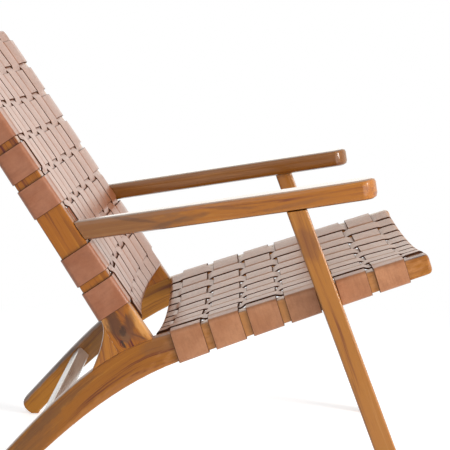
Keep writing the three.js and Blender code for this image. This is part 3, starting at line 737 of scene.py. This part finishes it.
wood = {
    "armrest": teak(
        "teak_armrest", body(196, 138, 76), body(172, 112, 56), body(132, 82, 40),
        figure=0.6, streaks=0.35, spots=arm_spots,
    ),
    # The far armrest takes a darker, greyer copy of the armrest's teak: painted shade for its inner face,
    # which lies in shade
    "left_armrest": teak(
        "teak_left_armrest", body(156, 112, 74), body(134, 92, 57), body(102, 68, 42),
        figure=0.6, streaks=0.35,
    ),
    "front_leg": teak(
        "teak_front_leg", body(188, 134, 82), body(172, 117, 66), body(134, 86, 46),
        figure=0.7, streaks=0.12, spots=leg_spots,
    ),
    "side_rail": teak(
        "teak_side_rail", body(188, 132, 68), body(160, 106, 50), body(112, 70, 34),
        figure=1.0, streaks=0.6, spots=rail_spots, coat=0.5, polish=0.25,
    ),
    "left_side_rail": teak(
        "teak_left_side_rail", body(204, 146, 80), body(180, 124, 64), body(124, 80, 40),
        figure=1.0, streaks=0.8, spots=left_rail_spots_and_highlight, coat=0.5, polish=0.25,
    ),
    "back_upright": teak(
        "teak_back_upright", body(196, 134, 68), body(168, 108, 50), body(104, 62, 28),
        figure=1.1, streaks=0.55, knots=foot_knots, spots=foot_spots, coat=0.6, polish=0.2,
    ),
    "corner_block": teak(
        "teak_corner_block", body(200, 140, 74), body(178, 118, 58), body(146, 92, 42),
        figure=1.0, streaks=0.6,
    ),
    # Painted reflection: the stretcher's teak is coloured pale grey-white for the white studio light its
    # glossy faces reflect, not for the wood's own colour
    "rear_stretcher": teak(
        "teak_stretcher", body(200, 184, 174), body(182, 166, 156), body(150, 132, 122),
        figure=1.0, streaks=0.5, polish=0.2, ior=2.0,
    ),
    "rail": teak(
        "teak_cross_rail", body(190, 130, 70), body(164, 106, 52), body(116, 70, 32),
        figure=1.0, streaks=0.6,
    ),
}


# Straps

def add_strap(name, paths, across, place, material, seed):
    mesh = strap_mesh(name + "_leather", paths, across, place, seed)
    add_piece(name + "_leather", mesh, name, material)


def long_strap(panel, index, material, number):
    rng = random.Random(number * STRAP_SEED)
    wander = rng.uniform(-WANDER, WANDER)
    sides = [long_centre(index) - share * panel.long_half for share, _ in SECTION]
    paths = [long_path(panel, index, side, wander) for side in sides]
    name = f"{panel.name}_long_strap_{index + 1}"
    add_strap(name, paths, sides, panel.place, material, number + rng.random())


def cross_strap(panel, row, material, number):
    rng = random.Random(number * STRAP_SEED)
    wraps = panel is seat or row != OPEN_ROW
    stations = [panel.rows[row] + share * HALF for share, _ in SECTION]
    paths = [cross_path(panel, row, station, wraps) for station in stations]

    def place(side, height, station):
        return panel.place(station, height, side)

    name = f"{panel.name}_cross_strap_{row + 1}"
    add_strap(name, paths, stations, place, material, number + rng.random())


number = 0
for panel, material in ((seat, seat_leather), (back, back_leather)):
    for index in range(LONG_COUNT):
        number += 1
        long_strap(panel, index, material, number)
    for row in range(len(panel.rows)):
        number += 1
        cross_strap(panel, row, material, number)


# Wood. Places in the side view are in millimetres, other sizes in metres, and angles in degrees

BLOCK_CORNER = (-60, 240)
BLOCK_GRAIN = 98
CURVE_REACH_FRONT = 600.0
CURVE_REACH_REAR = 80
RAIL_SLICES = np.arange(-0.44, 0.40, 0.012)
ARM_END_RADIUS = 0.026
ARM_END_LENGTH = 0.04
ARM_END_ADDED = 0.002
ARM_END_STEP = 6
FLAT_ANGLE = 0.6
SOFT_EDGE = 0.0007
EDGE_ANGLE = 40


def rail_top(x):
    """Height, length and direction of the rail's and rear leg's top line at each place x."""
    front_way, rear_way = np.array(cos_sin(SEAT_SLOPE)), np.array(cos_sin(REAR_TOP_SLOPE))
    t = np.linspace(0, 1, CURVE_POINTS)[:, None]
    p0 = np.array([0.0, JOINT_HEIGHT])
    p3 = np.array(REAR_TOP_END)
    p1 = p0 - REAR_PULL_HIGH * front_way
    p2 = p3 + REAR_PULL_LOW * rear_way
    p = p0 * (1 - t) ** 3 + 3 * p1 * t * (1 - t) ** 2 + 3 * p2 * t**2 * (1 - t) + p3 * t**3
    rise = CURVE_REACH_FRONT * math.tan(math.radians(SEAT_SLOPE))
    beyond = p3 - CURVE_REACH_REAR * rear_way
    p = np.concatenate([[beyond], p[::-1], [[CURVE_REACH_FRONT, JOINT_HEIGHT + rise]]])
    run = np.concatenate([[0], np.cumsum(np.linalg.norm(np.diff(p, axis=0), axis=1))])
    angle = np.arctan2(np.gradient(p[:, 1]), np.gradient(p[:, 0]))
    return [np.interp(x, p[:, 0], values) for values in (p[:, 1], run, angle)]


def straight_grain(origin, degrees):
    """Grain that runs in the side view at that angle, through origin."""
    c, s = cos_sin(degrees)

    def coordinates(x, y, z):
        u, v = x - origin[0], y - origin[1]
        return np.stack([u * c + v * s, -u * s + v * c, z], -1)

    return coordinates


def curved_grain(x, y, z):
    """Grain that follows the rail's and rear leg's top line."""
    height, run, angle = rail_top(x)
    return np.stack([run, (y - height) * np.cos(angle), z], -1)


def cross_grain(x, y, z):
    """Grain that runs across the chair."""
    return np.stack([z, x, y], -1)


grains = {
    "armrest": straight_grain(back_point(ARM_STATION, 0), ARM_SLOPE),
    "front_leg": straight_grain((LEG_FOOT, 0), 90 + LEG_LEAN),
    "side_rail": curved_grain,
    "back_upright": straight_grain((0, JOINT_HEIGHT), 90 + BACK_LEAN),
    "corner_block": straight_grain(BLOCK_CORNER, BLOCK_GRAIN),
    "rail": cross_grain,
    "dowel": cross_grain,
}


def cut(bm, point, normal):
    """Cuts the faces along a plane, and keeps both sides."""
    geometry = bm.verts[:] + bm.edges[:] + bm.faces[:]
    bmesh.ops.bisect_plane(bm, geom=geometry, dist=1e-7, plane_co=point, plane_no=normal)


def round_front(bm):
    """Rounds an armrest's front corners, seen from above, and draws its tip out a little."""
    c, s = cos_sin(ARM_SLOPE)
    direction = Vector((0, -c, s))
    radius, edge = ARM_END_RADIUS, WOOD_ROUND * MM
    tip = max(v.co.dot(direction) for v in bm.verts)
    for degrees in range(ARM_END_STEP, 91, ARM_END_STEP):
        cut(bm, direction * (tip - radius * (1 - math.sin(math.radians(90 - degrees)))), direction)
    ends = [v for v in bm.verts if tip - v.co.dot(direction) < ARM_END_LENGTH]
    left, right = min(v.co.x for v in ends), max(v.co.x for v in ends)
    middle, half = (left + right) / 2, (right - left) / 2
    for v in ends:
        gone = tip - v.co.dot(direction)
        if gone < radius:
            narrow = radius - math.sqrt(radius**2 - (radius - gone) ** 2)
            worn = edge - math.sqrt(edge**2 - (edge - gone) ** 2) if gone < edge else 0
            v.co.x = middle + (v.co.x - middle) * (half - narrow) / (half - worn)
        v.co += direction * ARM_END_ADDED


def wood_mesh(node_name, kind):
    """The CAD node's mesh with large flat faces, and more points where its shape needs them."""
    bm = bmesh.new()
    bm.from_mesh(nodes[node_name].data)
    bmesh.ops.remove_doubles(bm, verts=bm.verts, dist=1e-6)
    bmesh.ops.dissolve_limit(
        bm, angle_limit=math.radians(FLAT_ANGLE), verts=bm.verts, edges=bm.edges,
        use_dissolve_boundaries=False,
    )
    if kind == "side_rail":
        for station in RAIL_SLICES:
            cut(bm, (0, station, 0), (0, 1, 0))
    if kind == "armrest":
        round_front(bm)
    mesh = bpy.data.meshes.new(node_name + "_wood")
    bm.to_mesh(mesh)
    bm.free()
    for extra in list(mesh.attributes):
        if not (extra.is_internal or extra.is_required):
            mesh.attributes.remove(extra)
    return mesh


def soften(piece):
    """Rounds the piece's edges a little, with smooth shading over them."""
    bevel = piece.modifiers.new("Bevel", "BEVEL")
    bevel.width = SOFT_EDGE
    bevel.segments = 2
    bevel.limit_method = "ANGLE"
    bevel.angle_limit = math.radians(EDGE_ANGLE)
    weighted = piece.modifiers.new("WeightedNormal", "WEIGHTED_NORMAL")
    weighted.keep_sharp = False
    weighted.weight = 60


def wood_piece(node_name, kind, material, shift):
    mesh = wood_mesh(node_name, kind)
    co = np.zeros(len(mesh.vertices) * 3)
    mesh.vertices.foreach_get("co", co)
    co = co.reshape(-1, 3) / MM
    grain = grains[kind](CENTRE_SHIFT - co[:, 1], co[:, 2], co[:, 0]) * MM
    store(mesh, "grain", grain + np.array(shift))
    mesh.shade_smooth()
    soften(add_piece(node_name + "_wood", mesh, node_name, material))


# Pieces whose spots, or whose figure as drawn, are at fixed places of the grain
FIXED_FIGURE = (
    "right_back_upright", "right_side_rail", "left_side_rail", "right_front_leg", "right_armrest",
)
for number, node_name in enumerate(sorted(nodes)):
    if "strap" in node_name:
        continue
    rng = random.Random(WOOD_SEED + number)
    shift = (rng.uniform(1, 9), 0.0, rng.uniform(0, 9))
    if node_name in FIXED_FIGURE:
        shift = (0.0, 0.0, 0.0)
    kind = node_name.removeprefix("right_").removeprefix("left_")
    if "dowel" in kind:
        wood_piece(node_name, "dowel", dowel_beech, shift)
    else:
        material = wood.get(node_name) or wood.get(kind) or wood["rail"]
        wood_piece(node_name, kind if kind in grains else "rail", material, shift)


# Floor, world and lamps

FLOOR_HALF = 12.0
FLOOR_DROP = 0.0006
WHITE = (1, 1, 1, 1)


def floor_material():
    """Pale grey as light falls on it. Where it is seen it keeps the shadow and fades to white."""
    n = Nodes(bpy.data.materials.new("pale_floor"))
    n.surface({"Base Color": (0.86, 0.86, 0.86, 1), "Roughness": 0.9, "Specular IOR Level": 0.1})
    rays = n.add("ShaderNodeLightPath").outputs
    seen = n.math("MAXIMUM", rays["Is Camera Ray"], rays["Is Glossy Ray"])
    seen = n.math("MAXIMUM", seen, rays["Is Transmission Ray"])
    place = n.add("ShaderNodeTexCoord").outputs["Object"]
    reach = n.add("ShaderNodeVectorMath", {0: place}, operation="LENGTH").outputs["Value"]
    lit = n.shader.outputs["BSDF"]
    lift = n.add("ShaderNodeEmission", {"Color": WHITE, "Strength": 0.55}).outputs["Emission"]
    blank = n.add("ShaderNodeEmission", {"Color": WHITE, "Strength": 1.0}).outputs["Emission"]
    near = n.add("ShaderNodeAddShader", {0: lit, 1: lift}).outputs["Shader"]
    faded = n.add("ShaderNodeMixShader", {0: n.fade(reach, 0.7, 1.5), 1: near, 2: blank}).outputs["Shader"]
    chosen = n.add("ShaderNodeMixShader", {0: seen, 1: lit, 2: faded}).outputs["Shader"]
    n.set(n.tree.nodes["Material Output"].inputs["Surface"], chosen)
    return n.owner


def add_floor():
    mesh = bpy.data.meshes.new("floor")
    corners = [(x * FLOOR_HALF, y * FLOOR_HALF, 0) for x, y in ((-1, -1), (1, -1), (1, 1), (-1, 1))]
    mesh.from_pydata(corners, [], [(0, 1, 2, 3)])
    mesh.materials.append(floor_material())
    floor = bpy.data.objects.new("floor", mesh)
    bpy.context.scene.collection.objects.link(floor)
    floor.location.z = -FLOOR_DROP


def add_world():
    """White where it is seen, a warm white in reflections, and a soft grey as light."""
    n = Nodes(bpy.data.worlds.new("studio"))
    n.tree.nodes.clear()
    rays = n.add("ShaderNodeLightPath").outputs
    seen = n.math("MAXIMUM", rays["Is Camera Ray"], rays["Is Transmission Ray"])
    soft = n.add("ShaderNodeBackground", {"Color": (0.96, 0.98, 1.0, 1), "Strength": 0.47}).outputs[0]
    mirrored = n.add("ShaderNodeBackground", {"Color": (0.965, 0.95, 0.89, 1), "Strength": 1.0}).outputs[0]
    white = n.add("ShaderNodeBackground", {"Color": WHITE, "Strength": 1.0}).outputs[0]
    lit = n.add("ShaderNodeMixShader", {0: rays["Is Glossy Ray"], 1: soft, 2: mirrored}).outputs[0]
    choice = n.add("ShaderNodeMixShader", {0: seen, 1: lit, 2: white}).outputs[0]
    n.add("ShaderNodeOutputWorld", {"Surface": choice})
    bpy.context.scene.world = n.owner


def area_light(name, place, target, size, watts, colour=(1, 1, 1)):
    """A round lamp that faces its target. Places and the width are in metres."""
    data = bpy.data.lights.new(name, "AREA")
    data.shape = "DISK"
    data.size = size
    data.energy = watts
    data.color = colour
    lamp = bpy.data.objects.new(name, data)
    lamp.location = place
    lamp.rotation_mode = "QUATERNION"
    lamp.rotation_quaternion = (Vector(target) - Vector(place)).to_track_quat("-Z", "Y")
    bpy.context.scene.collection.objects.link(lamp)


add_floor()
add_world()
area_light("key", (-1.45, -2.9, 1.2), (0, 0, 0.3), 1.3, 94, (1.0, 0.97, 0.93))
area_light("window", (-2.35, -1.7, 0.3), (0, 0, 0.4), 1.5, 11)
area_light("fill", (-3.0, 0.9, 1.6), (0, 0, 0.35), 2.2, 11)
area_light("behind", (4.2, 0.2, 1.15), (0, 0, 0.4), 2.6, 9)


# Camera: square picture, at the chair's right side and a little above it. Its angles are in
# radians, from level and square to the side, and its focal length is in pixels

PIXELS = 450
FOCAL = 1433.29
SENSOR = 36.0
YAW, PITCH, ROLL = -0.006682, 0.126673, 0.006329
CAMERA_PLACE = (-2.453059, -0.085411, 0.720593)

camera_data = bpy.data.cameras.new("camera")
camera_data.sensor_width = SENSOR
camera_data.lens = FOCAL / PIXELS * SENSOR
camera_data.clip_start = 0.05
camera_data.clip_end = 60.0
camera = bpy.data.objects.new("camera", camera_data)
bpy.context.scene.collection.objects.link(camera)
forward = Vector((
    math.cos(PITCH) * math.cos(YAW), -math.cos(PITCH) * math.sin(YAW), -math.sin(PITCH),
))
level = Vector((-math.sin(YAW), -math.cos(YAW), 0))
upward = level.cross(forward)
across = math.cos(ROLL) * level + math.sin(ROLL) * upward
upright = -math.sin(ROLL) * level + math.cos(ROLL) * upward
turn = Matrix((across, upright, -forward)).transposed()
camera.matrix_world = Matrix.Translation(CAMERA_PLACE) @ turn.to_4x4()
bpy.context.scene.camera = camera
bpy.context.scene.view_settings.view_transform = "Standard"

bpy.context.view_layer.update()
